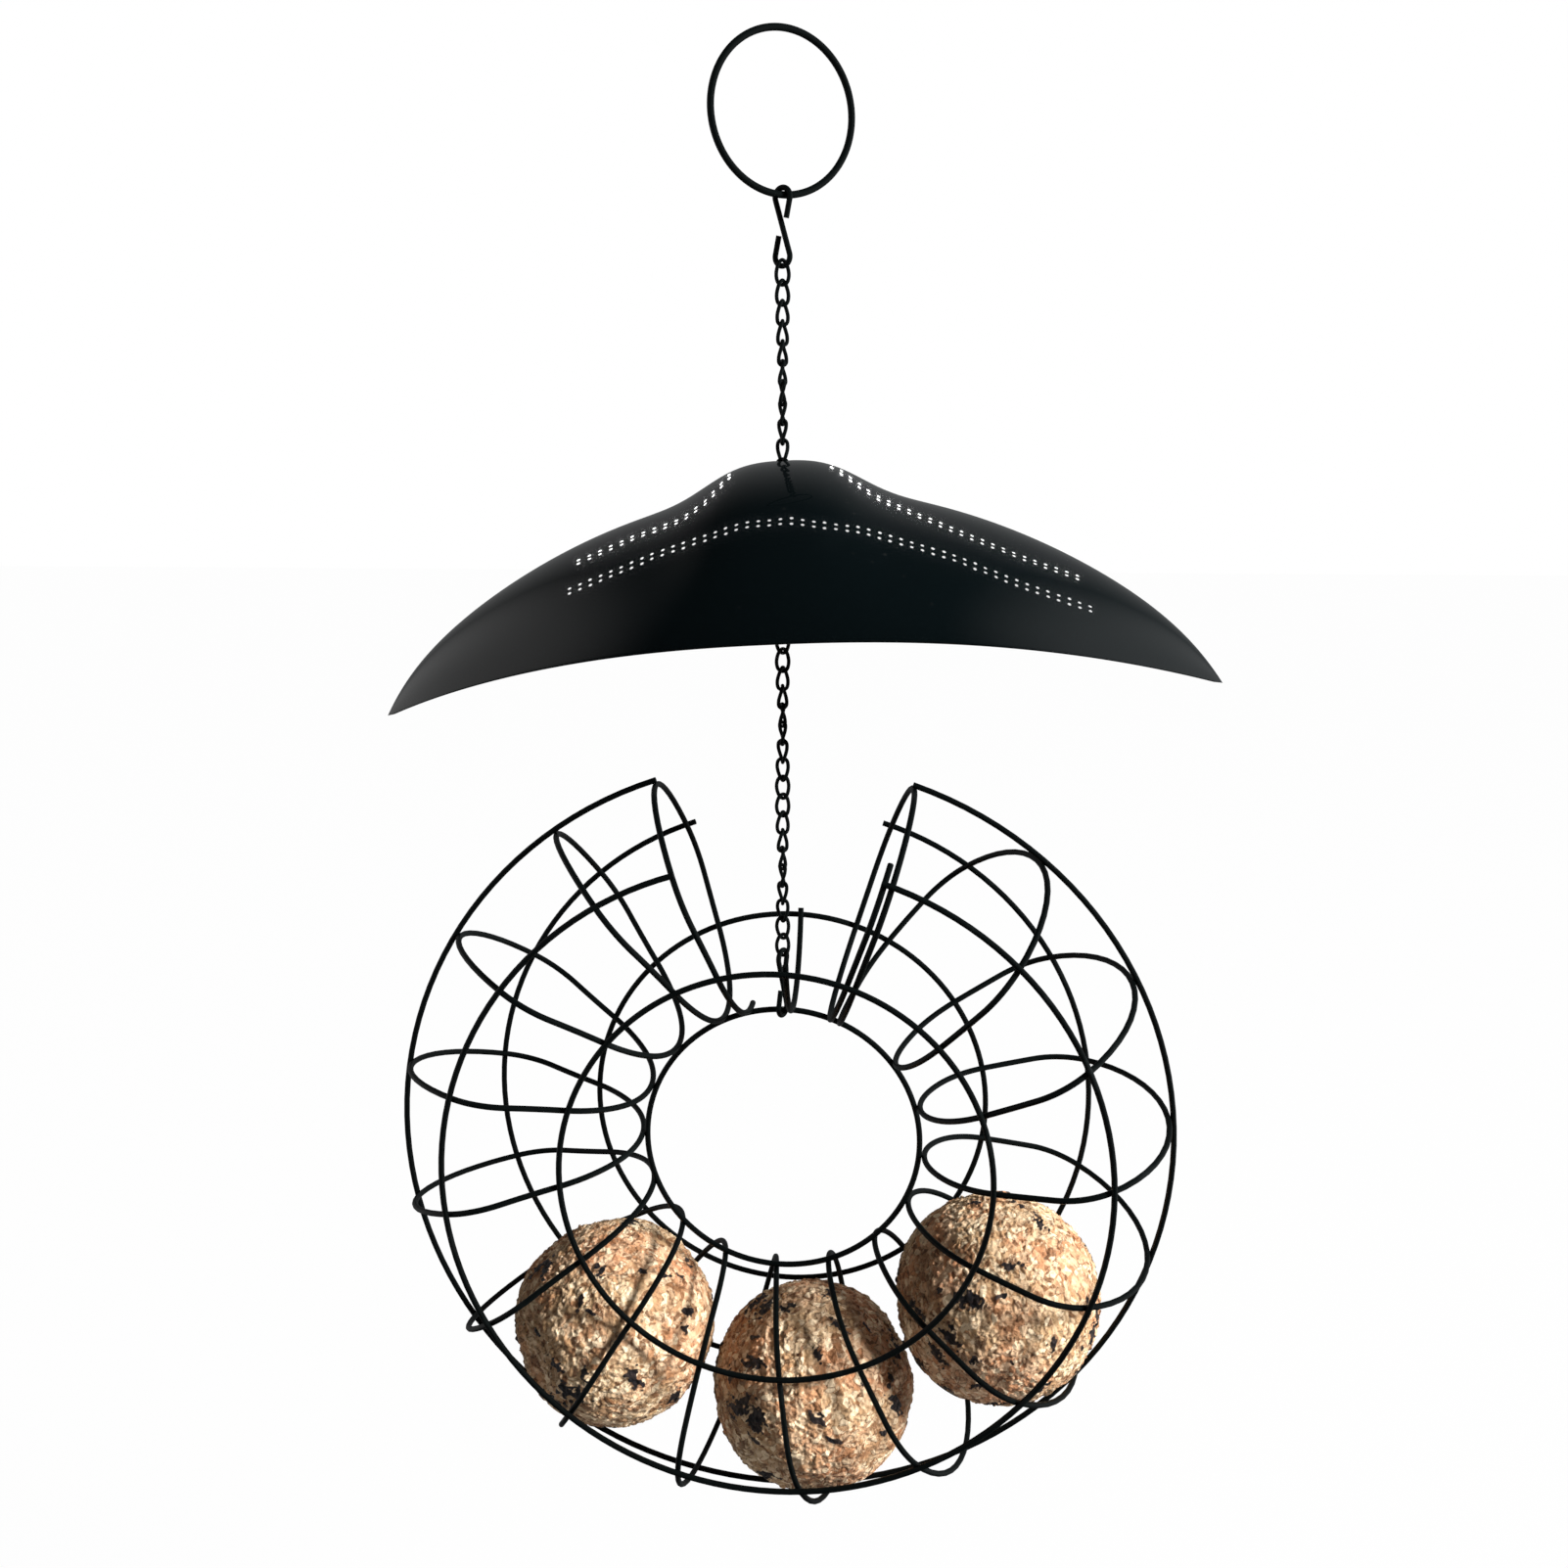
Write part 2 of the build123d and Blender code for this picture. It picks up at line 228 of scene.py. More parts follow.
def cube_ball(cells: int) -> tuple[np.ndarray, np.ndarray]:
    """Spread directions evenly over a ball by pushing a cube's six faces outwards.

    A place on a cube's face is (1, tan a, tan b) with a and b evenly spaced over an eighth of a
    turn each way, and it is brought to length one. Shared edges are merged by rounding.

    Args:
        cells: How many quads lie along a cube's edge.

    Returns:
        Unit directions, count by three, and faces, count by four.
    """
    span = np.tan(np.linspace(-np.pi / 4, np.pi / 4, cells + 1))
    a, b = np.meshgrid(span, span, indexing="ij")
    one = np.ones_like(a)
    sides = [(one, a, b), (-one, b, a), (b, one, a), (a, -one, b), (a, b, one), (b, a, -one)]
    places = np.stack([np.stack(s, axis=-1).reshape(-1, 3) for s in sides])
    row, column = np.meshgrid(np.arange(cells), np.arange(cells), indexing="ij")
    first = (row * (cells + 1) + column).ravel()
    quad = np.stack([first, first + cells + 1, first + cells + 2, first + 1], axis=-1)
    faces = np.concatenate([quad + k * (cells + 1) ** 2 for k in range(6)])
    places = unit(places.reshape(-1, 3))
    _, keep, back = np.unique(np.round(places, 6), axis=0, return_index=True, return_inverse=True)
    return places[keep], back.reshape(-1)[faces]


def nearest_two(places: np.ndarray, seeds: np.ndarray) -> tuple[np.ndarray, np.ndarray, np.ndarray]:
    """Find each direction's nearest seed, and how far it and the next one are.

    The distance between unit directions is the square root of two minus twice their dot product.

    Args:
        places: Unit directions, count by three.
        seeds: Unit directions of the cells' middles.

    Returns:
        The nearest seed's number, the distance to it and the distance to the second nearest.
    """
    number, first, second = [], [], []
    for block in np.array_split(places.astype(np.float32), max(1, len(places) // BLOCK)):
        close = block @ seeds.T.astype(np.float32)
        order = np.argpartition(-close, 1, axis=1)[:, :2]
        best = np.take_along_axis(close, order, axis=1)
        swap = best[:, 0] < best[:, 1]
        order[swap], best[swap] = order[swap][:, ::-1], best[swap][:, ::-1]
        number.append(order[:, 0])
        first.append(best[:, 0])
        second.append(best[:, 1])
    far = [np.sqrt(np.maximum(0, 2 - 2 * np.concatenate(v))) for v in (first, second)]
    return np.concatenate(number), far[0], far[1]


def wave_noise(places: np.ndarray, scale: float, seed: int, octaves: int = 3) -> np.ndarray:
    """Sum plane waves of random direction into a smooth uneven field of about plus or minus one.

    Args:
        places: Places, count by three.
        scale: Waves across one unit in the first octave.
        seed: Number that fixes the waves.
        octaves: How many times the scale is doubled.

    Returns:
        One value for each place.
    """
    random = np.random.default_rng(seed)
    total = np.zeros(len(places))
    for octave in range(octaves):
        ways = unit(random.normal(size=(WAVES, 3)))
        phase = random.uniform(0, 2 * np.pi, WAVES)
        waves = np.sin(places @ ways.T * scale * 2**octave * 2 * np.pi + phase)
        total += waves.sum(axis=1) / 3 / 2**octave
    return total / 1.75


# ---- finishes


class Nodes:
    """A short way to write one material's or group's nodes."""

    def __init__(self, tree: bpy.types.NodeTree) -> None:
        """Start with an empty tree."""
        self.tree = tree
        tree.nodes.clear()

    def add(self, kind: str, **settings: object) -> bpy.types.Node:
        """Add a node and set its properties, or the plain values of its sockets.

        Args:
            kind: The node's type, without its leading words.
            **settings: Properties by name, and sockets by name with underscores for spaces.

        Returns:
            The new node.
        """
        node = self.tree.nodes.new("ShaderNode" + kind)
        for key, value in settings.items():
            if hasattr(node, key):
                setattr(node, key, value)
            else:
                self.socket(node, key.replace("_", " ")).default_value = value
        return node

    @staticmethod
    def socket(node: bpy.types.Node, name: str) -> bpy.types.NodeSocket:
        """Return a node's enabled input of that name."""
        return next(s for s in node.inputs if s.name == name and s.enabled)

    @classmethod
    def material(cls, name: str) -> tuple[bpy.types.Material, Nodes]:
        """Start a material, and return it with its nodes."""
        material = bpy.data.materials.new(name)
        material.use_nodes = True
        return material, cls(material.node_tree)

    def surface(self, shader: bpy.types.Node) -> None:
        """Send a shader to the material's output."""
        self.join(shader.outputs[0], self.add("OutputMaterial"), "Surface")

    def join(self, source: bpy.types.NodeSocket, node: bpy.types.Node, target: str | int) -> None:
        """Link a socket to a node's input, given by name or number."""
        entry = node.inputs[target] if isinstance(target, int) else self.socket(node, target)
        self.tree.links.new(source, entry)

    def mix(self, share: object, low: object, high: object) -> bpy.types.NodeSocket:
        """Mix two colours, each a socket or a plain colour, by a socket or a number."""
        node = self.add("Mix", data_type="RGBA")
        for value, number in ((share, 0), (low, 6), (high, 7)):
            if isinstance(value, bpy.types.NodeSocket):
                self.tree.links.new(value, node.inputs[number])
            else:
                node.inputs[number].default_value = value if number == 0 else (*value, 1)
        return node.outputs[2]

    def math(self, operation: str, *values: object) -> bpy.types.NodeSocket:
        """Work out a sum of sockets and numbers."""
        node = self.add("Math", operation=operation)
        for number, value in enumerate(values):
            if isinstance(value, bpy.types.NodeSocket):
                self.tree.links.new(value, node.inputs[number])
            else:
                node.inputs[number].default_value = value
        return node.outputs[0]

    def span(self, value: bpy.types.NodeSocket, low: float, high: float,
             to_low: float = 0.0, to_high: float = 1.0) -> bpy.types.NodeSocket:
        """Stretch a value from one span to another, smoothly and without going past its ends."""
        node = self.add("MapRange", interpolation_type="SMOOTHSTEP")
        self.tree.links.new(value, node.inputs["Value"])
        limits = {"From Min": low, "From Max": high, "To Min": to_low, "To Max": to_high}
        for key, number in limits.items():
            node.inputs[key].default_value = number
        return node.outputs["Result"]


def coat_grain_group() -> bpy.types.NodeTree:
    """Build the grain that every black coat shares: fine orange peel, dust and rubbed patches.

    Returns:
        A group with inputs Grain Size, Patch Size and Wear, and outputs Height, Dust and Rub.
    """
    tree = bpy.data.node_groups.new("coat_grain", "ShaderNodeTree")
    for label, value in (("Grain Size", 900.0), ("Patch Size", 40.0), ("Wear", 0.5)):
        tree.interface.new_socket(label, in_out="INPUT", socket_type="NodeSocketFloat").default_value = value
    for label in ("Height", "Dust", "Rub"):
        tree.interface.new_socket(label, in_out="OUTPUT", socket_type="NodeSocketFloat")
    make = Nodes(tree)
    entry = tree.nodes.new("NodeGroupInput")
    leave = tree.nodes.new("NodeGroupOutput")
    place = make.add("TexCoord").outputs["Object"]
    grain = make.add("TexNoise", Detail=3.0, Roughness=0.55)
    patch = make.add("TexNoise", Detail=5.0, Roughness=0.62)
    speck = make.add("TexVoronoi", feature="F1")
    for node, size in ((grain, "Grain Size"), (patch, "Patch Size"), (speck, "Grain Size")):
        make.join(place, node, "Vector")
        make.join(entry.outputs[size], node, "Scale")
    dust = make.math("MULTIPLY", make.span(speck.outputs["Distance"], 0.16, 0.05),
                     make.span(patch.outputs[0], 0.5, 0.68))
    rub = make.math("MULTIPLY", make.span(patch.outputs[0], 0.55, 0.75), entry.outputs["Wear"])
    for label, value in (("Height", grain.outputs[0]), ("Dust", dust), ("Rub", rub)):
        tree.links.new(value, leave.inputs[label])
    return tree


@dataclass(frozen=True)
class CoatFinish:
    """A black coat, on wire or on the shell: its colour, its gloss and how far its grain shows."""

    name: str
    color: Triple
    rubbed_color: Triple
    roughness: float
    rubbed_roughness: float
    coat: float
    coat_roughness: float
    grain_size: float
    patch_size: float
    wear: float
    bump: float
    bump_depth: float
    specular: float = 0.5
    dust: float = 0.05

    def material(self, grain: bpy.types.NodeTree) -> bpy.types.Material:
        """Build the material round the shared grain.

        Args:
            grain: The group that gives the grain's height, dust and rubbed patches.

        Returns:
            The finished material.
        """
        material, make = Nodes.material(self.name)
        group = material.node_tree.nodes.new("ShaderNodeGroup")
        group.node_tree = grain
        for label, value in (("Grain Size", self.grain_size), ("Patch Size", self.patch_size),
                             ("Wear", self.wear)):
            group.inputs[label].default_value = value
        shader = make.add("BsdfPrincipled", Coat_Weight=self.coat, Coat_Roughness=self.coat_roughness,
                          Specular_IOR_Level=self.specular)
        worn = make.mix(group.outputs["Rub"], self.color, self.rubbed_color)
        dusty = make.mix(make.math("MULTIPLY", group.outputs["Dust"], self.dust), worn, (0.30, 0.29, 0.27))
        make.join(dusty, shader, "Base Color")
        rough = make.span(group.outputs["Rub"], 0.0, 0.6, self.roughness, self.rubbed_roughness)
        make.join(rough, shader, "Roughness")
        bump = make.add("Bump", Strength=self.bump, Distance=self.bump_depth)
        make.join(group.outputs["Height"], bump, "Height")
        make.join(bump.outputs[0], shader, "Normal")
        make.surface(shader)
        return material


@dataclass(frozen=True)
class SuetFinish:
    """Pressed fat with flakes, crumbs and dark seeds, read from the ball's own attributes, with painted
    shade in the cracks between flakes and in fine noise specks.
    """

    name: str = "suet_crumb"
    fat: Triple = (0.47, 0.295, 0.155)
    pink: Triple = (0.53, 0.25, 0.125)
    brown: Triple = (0.24, 0.115, 0.052)
    cream: Triple = (0.86, 0.68, 0.46)
    bran: Triple = (0.17, 0.07, 0.030)
    seed: Triple = (0.010, 0.010, 0.012)
    seed_edge: Triple = (0.045, 0.032, 0.028)
    # Painted shade: the dark colour laid into the cracks between flakes and into fine noise specks, standing
    # in for the shade that falls in them.
    crack_shade: Triple = (0.085, 0.035, 0.016)

    def material(self) -> bpy.types.Material:
        """Build the material.

        Returns:
            The finished material.
        """
        material, make = Nodes.material(self.name)
        read = {key: make.add("Attribute", attribute_name=key).outputs["Fac"]
                for key in ("tone", "cream", "bran", "seed", "crack_shade")}
        place = make.add("TexCoord").outputs["Object"]
        fine = make.add("TexNoise", Scale=260.0, Detail=6.0, Roughness=0.78, Distortion=1.2)
        crumb = make.add("TexVoronoi", Scale=700.0)
        broad = make.add("TexNoise", Scale=55.0, Detail=3.0)
        patch = make.add("TexNoise", Scale=120.0, Detail=5.0, Roughness=0.6, Distortion=0.5)
        for node in (fine, crumb, broad, patch):
            make.join(place, node, "Vector")
        base = make.mix(make.span(broad.outputs[0], 0.38, 0.62), self.fat, self.pink)
        # The two layers in the crack colour are painted shade: fine noise specks, and the cracks between
        # flakes darkened as if shaded.
        layers = (
            (read["tone"], 0.1, 1.0, 0.5, self.cream),
            (read["cream"], 0.35, 0.7, 0.85, self.cream),
            (read["bran"], 0.35, 0.7, 0.8, self.bran),
            (patch.outputs[0], 0.5, 0.64, 0.7, self.brown),
            (fine.outputs[0], 0.54, 0.66, 0.85, self.crack_shade),
            (fine.outputs[0], 0.46, 0.34, 0.7, self.cream),
            (read["crack_shade"], 0.1, 0.9, 0.75, self.crack_shade),
        )
        for mask, low, high, most, color in layers:
            base = make.mix(make.span(mask, low, high, 0.0, most), base, color)
        husk = make.mix(make.span(fine.outputs[0], 0.42, 0.66), self.seed, self.seed_edge)
        base = make.mix(make.span(read["seed"], 0.30, 0.55), base, husk)
        shader = make.add("BsdfPrincipled", Specular_IOR_Level=0.35)
        make.join(base, shader, "Base Color")
        make.join(make.span(read["seed"], 0.3, 0.6, 0.74, 0.42), shader, "Roughness")
        height = make.math("ADD", fine.outputs[0], make.math("MULTIPLY", crumb.outputs["Distance"], 0.8))
        bump = make.add("Bump", Strength=1.0, Distance=0.001)
        make.join(height, bump, "Height")
        make.join(bump.outputs[0], shader, "Normal")
        make.surface(shader)
        return material


class Finishes:
    """All the materials of the feeder, built once."""

    def __init__(self) -> None:
        """Build the shared grain and every material."""
        grain = coat_grain_group()
        wire = dict(color=(0.0018, 0.0026, 0.0026), rubbed_color=(0.007, 0.009, 0.009),
                    roughness=0.42, rubbed_roughness=0.5, coat=0.05, coat_roughness=0.28, dust=0.0,
                    grain_size=1500.0, patch_size=60.0, wear=0.6, bump=0.14, bump_depth=0.00012,
                    specular=0.1)
        self.table: dict[Slot, bpy.types.Material] = {
            Slot.RING: CoatFinish("ring_coat", **wire).material(grain),
            Slot.HOOK: CoatFinish("hook_coat", **{**wire, "roughness": 0.38}).material(grain),
            Slot.CHAIN: CoatFinish(
                "chain_coat", **{**wire, "wear": 0.9, "grain_size": 2200.0}).material(grain),
            Slot.CAGE: CoatFinish("cage_coat", **wire).material(grain),
            Slot.ROOF: CoatFinish(
                "roof_gloss", color=(0.0012, 0.0024, 0.0028), rubbed_color=(0.004, 0.006, 0.007),
                roughness=0.32, rubbed_roughness=0.42, coat=0.9, coat_roughness=0.014,
                grain_size=260.0, patch_size=18.0, wear=0.5, bump=0.0, bump_depth=0.0002,
                specular=0.03).material(grain),
            Slot.SUET: SuetFinish().material(),
        }

    def dress(self, piece: bpy.types.Object, slot: Slot) -> None:
        """Give a piece one slot's material in place of its own.

        Args:
            piece: The object to dress.
            slot: The record's slot.
        """
        if not piece.material_slots:
            piece.data.materials.append(self.table[slot])
        for holder in piece.material_slots:
            holder.material = self.table[slot]

    def place(self, piece: bpy.types.Object, slot: Slot, body: Body, *nodes: str) -> None:
        """Dress a new piece, set it on its body and let it stand for its solids.

        Args:
            piece: The new object.
            slot: The record's slot.
            body: The body it rides on.
            *nodes: The solids it stands for.
        """
        self.dress(piece, slot)
        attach(piece, body.value)
        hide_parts(*nodes)
        LOG.info("%s: %d faces", piece.name, len(piece.data.polygons))


# ---- sub-assemblies


@dataclass
class CageCoil:
    """The wire that winds round the bent tube from one side of the mouth to the other."""

    wire: float = 1.8
    inner_radius: float = 44.9
    outer_radius: float = 119.9
    inner_rise: float = 20.6
    inner_depth: float = 29.5
    outer_fall: float = 21.4
    outer_depth: float = 35.0
    side_turn: float = 0.178
    turns: int = 16
    start: float = -0.015
    end: float = 16.35
    even_pitch: float = 10.9
    first_even: float = 35.7
    even_count: int = 27
    left_tips: tuple[float, ...] = (12.5, 19.0, 23.2)
    right_tips: tuple[float, ...] = (336.0, 340.7, 340.7, 341.6)
    arc_points: int = 9
    around: int = 16

    def angles(self, turn: np.ndarray) -> tuple[np.ndarray, np.ndarray]:
        """Give the angle from the mouth's middle at places along the coil.

        The angles at half turns are joined by cubic pieces whose slope at each half turn is half
        the difference of its two neighbours.

        Args:
            turn: Places along the coil, in turns.

        Returns:
            Angles in radians, growing towards the left, and their rates for each turn.
        """
        even = self.first_even + self.even_pitch * np.arange(self.even_count)
        tips = np.concatenate([self.left_tips, even, self.right_tips])
        slopes = np.gradient(tips)
        before = np.clip((2 * turn).astype(int), 0, len(tips) - 2)
        share = 2 * turn - before
        rise = tips[before + 1] - tips[before]
        low, high = slopes[before], slopes[before + 1]
        curve, twist = 3 * rise - 2 * low - high, low + high - 2 * rise
        angle = tips[before] + share * (low + share * (curve + share * twist))
        rate = 2 * (low + share * (2 * curve + 3 * share * twist))
        return np.radians(angle), np.radians(rate)

    def section(self, turn: np.ndarray) -> tuple[np.ndarray, np.ndarray, np.ndarray, np.ndarray]:
        """Follow the tube's egg shaped section, a round arc on each side of the tips.

        An arc through a tip and a side place at rise u and depth v has radius (u^2 + v^2) / 2u.

        Args:
            turn: Places along the coil, in turns.

        Returns:
            Radius from the cage's axis, depth along it, and the rates of both for each turn.
        """
        tip = np.round(2 * turn)
        outer = tip % 2 == 1
        rise = np.where(outer, self.outer_fall, self.inner_rise)
        depth = np.where(outer, self.outer_depth, self.inner_depth)
        reach = (rise**2 + depth**2) / (2 * rise)
        rate = np.arctan2(depth, reach - rise) / self.side_turn
        reach = np.where(outer, reach, -reach)
        middle = np.where(outer, self.outer_radius, self.inner_radius) - reach
        bend = (turn - tip / 2) * rate
        return (middle + reach * np.cos(bend), reach * np.sin(bend),
                -reach * np.sin(bend) * rate, reach * np.cos(bend) * rate)

    def places(self, turn: np.ndarray) -> tuple[np.ndarray, np.ndarray]:
        """Give places on the coil and the unit ways along it."""
        angle, rate = self.angles(turn)
        radius, depth, radius_rate, depth_rate = self.section(turn)
        place = np.stack([-radius * np.sin(angle), depth, radius * np.cos(angle)], axis=1)
        way = np.stack([-radius_rate * np.sin(angle) - radius * np.cos(angle) * rate, depth_rate,
                        radius_rate * np.cos(angle) - radius * np.sin(angle) * rate], axis=1)
        return place, unit(way)

    def path(self) -> np.ndarray:
        """Join the coil's joints by pairs of arcs, as in the solid coil.

        The joints lie at the inner tips and where the side hoops touch. Two arcs between them
        leave the first along its way and reach the second along its own, with equal tangents.

        Returns:
            Places along the wire's middle, round the cage's middle.
        """
        whole = np.arange(self.turns + 1)
        sides = [self.side_turn, 0.5 - self.side_turn, 0.5 + self.side_turn, 1 - self.side_turn]
        joints = np.sort(np.concatenate([whole] + [whole + side for side in sides]))
        joints = joints[(joints > 0) & (joints < self.end)]
        place, way = self.places(np.concatenate([[self.start], joints, [self.end]]))
        start, start_way, finish, finish_way = place[:-1], way[:-1], place[1:], way[1:]
        span, ways = finish - start, start_way + finish_way
        bend = 2 * (1 - np.sum(start_way * finish_way, axis=1))
        along = np.sum(span * ways, axis=1)
        reach = (np.sqrt(along**2 + bend * np.sum(span**2, axis=1)) - along) / bend
        first, second = start + start_way * reach[:, None], finish - finish_way * reach[:, None]
        middle, turned = (first + second) / 2, unit(second - first)
        pairs = [arc_places(start, start_way, middle, self.arc_points),
                 arc_places(middle, turned, finish, self.arc_points)]
        return np.concatenate([np.stack(pairs, axis=1).reshape(-1, 3), place[-1:]])

    def build(self) -> bpy.types.Object:
        """Carry the wire's round profile along the coil.

        The side direction points from the tube's middle to the wire.

        Returns:
            The coil as one closed surface.
        """
        path = self.path()
        angle = np.arctan2(-path[:, 0], path[:, 2])
        ring = (self.inner_radius + self.outer_radius) / 2
        middle = ring * np.stack([-np.sin(angle), np.zeros_like(angle), np.cos(angle)], axis=1)
        grid = tube(path, path - middle, self.wire / 2, self.around) + np.array([0, 0, CAGE_HEIGHT])
        return grid_object("coil", grid * MM, wrap_columns=True)


@dataclass
class ArchedRoof:
    """The glossy shell: pointed at both ends, arched along its length and humped round the chain."""

    length: float = 250.0
    width: float = 106.0
    wall: float = 2.0
    fall: float = 61.6
    tip_fall: float = 8.5
    crown_rise: float = 8.4
    crown_reach: float = 24.5
    rim_rise: float = 23.0
    crown_power: float = 3.2
    tip_power: float = 12.0
    rim_power: float = 2.2
    neck: float = 2.8
    tilt: float = 3.0
    lift: float = 73.5
    seat: float = 3.2
    rest_radius: float = 122.52
    mouth_angle: float = 19.0
    around: int = 420
    outwards: int = 100
    rim_rows: int = 5

    def ridge(self, share: np.ndarray) -> np.ndarray:
        """Height of the ridge over the tips: an arch, a quicker fall at the tips and the hump."""
        hump = self.crown_rise * np.exp(-((share * self.length / 2 / self.crown_reach) ** self.crown_power))
        arch = (self.fall - self.tip_fall) * (1 - share**2)
        return arch + self.tip_fall * (1 - share**self.tip_power) + hump

    def rim(self, share: np.ndarray) -> np.ndarray:
        """Height of the rim over the tips."""
        return self.rim_rise * (1 - share**self.rim_power)

    def half_width(self, share: np.ndarray) -> np.ndarray:
        """Half the width, on a round arc through both tips."""
        half, wide = self.length / 2, self.width / 2
        radius = (half**2 + wide**2) / (2 * wide)
        return np.maximum(np.sqrt(radius**2 - (share * half) ** 2) - (radius - wide), 0)

    def surface(self, a: np.ndarray, b: np.ndarray, inset: float) -> np.ndarray:
        """Carry a unit disc onto the shell.

        The first coordinate is the share of the half length. The second, divided by the disc's
        half chord there, is the share of the half width, and the height over the rim is that of a
        half ellipse. An inset makes both the ellipse's half axes smaller, but never below a third.

        Args:
            a: First coordinate on the disc, from minus one to one.
            b: Second coordinate on the disc.
            inset: The wall that the surface is set in by.

        Returns:
            Places in the roof's own frame, in millimetres.
        """
        share = np.abs(a)
        chord = np.sqrt(np.maximum(1 - a**2, 1e-9))
        across = np.clip(b / chord, -1, 1)
        reach = self.half_width(share)
        rise = np.maximum(self.ridge(share) - self.rim(share), 0)
        reach_in, rise_in = (np.maximum(v - inset, v / 3) if inset else v for v in (reach, rise))
        up = self.rim(share) + rise_in * np.sqrt(np.maximum(1 - across**2, 0))
        return np.stack([a * self.length / 2, across * reach_in, up], axis=-1)

    def stand(self, places: np.ndarray) -> np.ndarray:
        """Tilt the roof about its neck and lift it from closed to where it is shown."""
        turn = math.radians(self.tilt)
        rest_x = self.rest_radius * math.sin(math.radians(self.mouth_angle))
        top = CAGE_HEIGHT + self.rest_radius * math.cos(math.radians(self.mouth_angle))
        closed = (top - float(self.ridge(np.array(rest_x * 2 / self.length))) + self.wall
                  + rest_x * math.tan(turn) + self.seat)
        neck = float(self.ridge(np.array(0.0)))
        x, rise = places[..., 0], places[..., 2] - neck
        return np.stack([x * math.cos(turn) - rise * math.sin(turn), places[..., 1],
                         closed + self.lift + neck + x * math.sin(turn) + rise * math.cos(turn)], axis=-1)

    def build(self) -> bpy.types.Object:
        """Lay a polar grid over the shell, outside, round the rim, inside and round the neck.

        The disc's radius is the sine of a quarter turn's share, so that rows gather at the rim,
        and the first row is a true circle round the chain.

        Returns:
            The roof as one closed surface.
        """
        turn = np.linspace(0, 2 * np.pi, self.around, endpoint=False)[None, :]
        first = self.neck / np.hypot(self.length / 2 * np.cos(turn), self.width / 2 * np.sin(turn))
        begin = 2 / np.pi * np.arcsin(first)
        share = np.linspace(0, 1, self.outwards)[:, None] ** 1.15
        radius = np.sin(np.pi / 2 * (begin + (1 - begin) * share))
        a, b = radius * np.cos(turn), radius * np.sin(turn)
        outer, inner = self.surface(a, b, 0.0), self.surface(a, b, self.wall)
        round_edge = np.linspace(0, np.pi, self.rim_rows + 2)[1:-1, None, None]
        middle, half = (outer[-1] + inner[-1]) / 2, (outer[-1] - inner[-1]) / 2
        bulge = np.array([0.0, 0.0, -0.5]) * np.linalg.norm(half, axis=-1, keepdims=True)
        rim = middle + half * np.cos(round_edge) + bulge * np.sin(round_edge)
        grid = np.concatenate([outer, rim, inner[::-1]])
        return grid_object("roof_shell", self.stand(grid) * MM, wrap_rows=True, wrap_columns=True)


